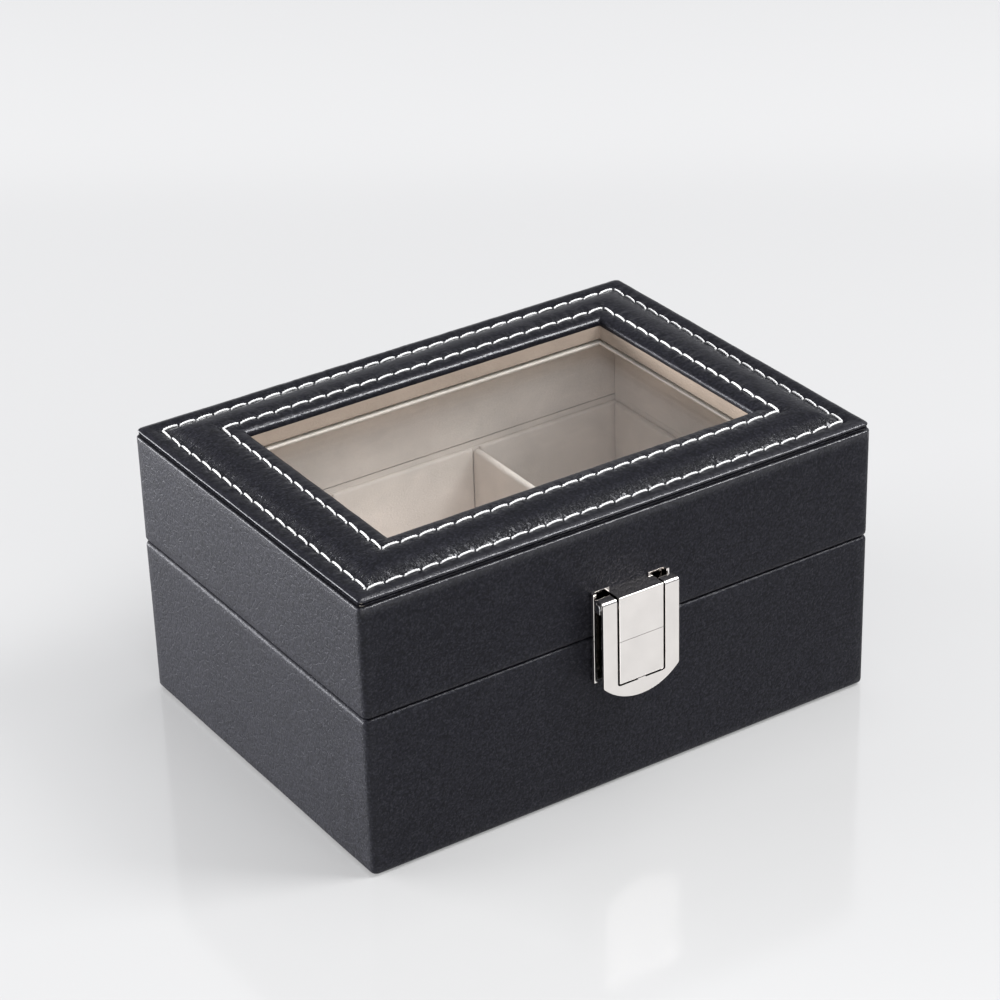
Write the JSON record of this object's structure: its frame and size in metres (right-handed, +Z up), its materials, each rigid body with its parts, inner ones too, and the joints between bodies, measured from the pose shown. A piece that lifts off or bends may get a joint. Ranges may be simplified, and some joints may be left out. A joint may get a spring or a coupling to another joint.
{
  "type": "watch box",
  "caption": "Leather-covered watch box with a padded stitched top, a clear window, velvet compartments, back hinges and a front hasp latch.",
  "frame": {"origin": "middle of the flat underside", "axes": "+X along the front edge to the right, +Y from the front to the back, +Z up"},
  "size_m": [0.16, 0.1254, 0.083],
  "materials": {
    "leather": "black leather with a fine pebble grain, semi-gloss",
    "velvet": "beige short-pile velvet",
    "board_wood": "plain fibreboard",
    "pad_cloth": "black flocked cloth",
    "nickel": "polished nickel plate",
    "steel": "bright steel wire",
    "pane": "clear, polished",
    "card": "grey board",
    "foam": "soft foam sheet",
    "thread": "white twisted thread"
  },
  "bodies": {
    "base": {"base_front_board": "board_wood", "base_back_board": "board_wood", "base_left_board": "board_wood", "base_right_board": "board_wood", "base_floor_board": "board_wood", "base_leather_wrap": "leather", "base_underside_pad": "pad_cloth", "base_front_lining": "velvet", "base_back_lining": "velvet", "base_left_lining": "velvet", "base_right_lining": "velvet", "base_floor_lining": "velvet", "left_divider": "velvet", "right_divider": "velvet", "hinge_base_leaf_left": "nickel", "hinge_base_leaf_right": "nickel", "hinge_pin_left": "steel", "hinge_pin_right": "steel", "hinge_base_screws": "steel", "latch_base_plate": "nickel", "latch_base_brads": "steel"},
    "lid": {"lid_front_board": "board_wood", "lid_back_board": "board_wood", "lid_left_board": "board_wood", "lid_right_board": "board_wood", "lid_leather_wrap": "leather", "window_board": "board_wood", "window_pane": "pane", "retainer_front_strip": "velvet", "retainer_back_strip": "velvet", "retainer_left_strip": "velvet", "retainer_right_strip": "velvet", "window_facing": "velvet", "top_card": "card", "top_foam": "foam", "top_leather_cover": "leather", "outer_stitching": "thread", "inner_stitching": "thread", "lid_top_lining": "velvet", "lid_front_lining": "velvet", "lid_back_lining": "velvet", "lid_left_lining": "velvet", "lid_right_lining": "velvet", "hinge_lid_leaf_left": "nickel", "hinge_lid_leaf_right": "nickel", "hinge_lid_screws": "steel", "latch_lid_plate": "nickel", "latch_lid_brads": "steel", "latch_pin": "steel"},
    "hasp": {"latch_hasp": "nickel"}
  },
  "joints": [
    {"name": "lid_hinge", "type": "hinge", "parent": "base", "child": "lid", "pos_m": [0, 0.0598, 0.0472], "axis": [-1, 0, 0], "range_deg": [0, 95]},
    {"name": "hasp_hinge", "type": "hinge", "parent": "lid", "child": "hasp", "pos_m": [0, -0.06205, 0.0582], "axis": [-1, 0, 0], "range_deg": [0, 120]}
  ]
}
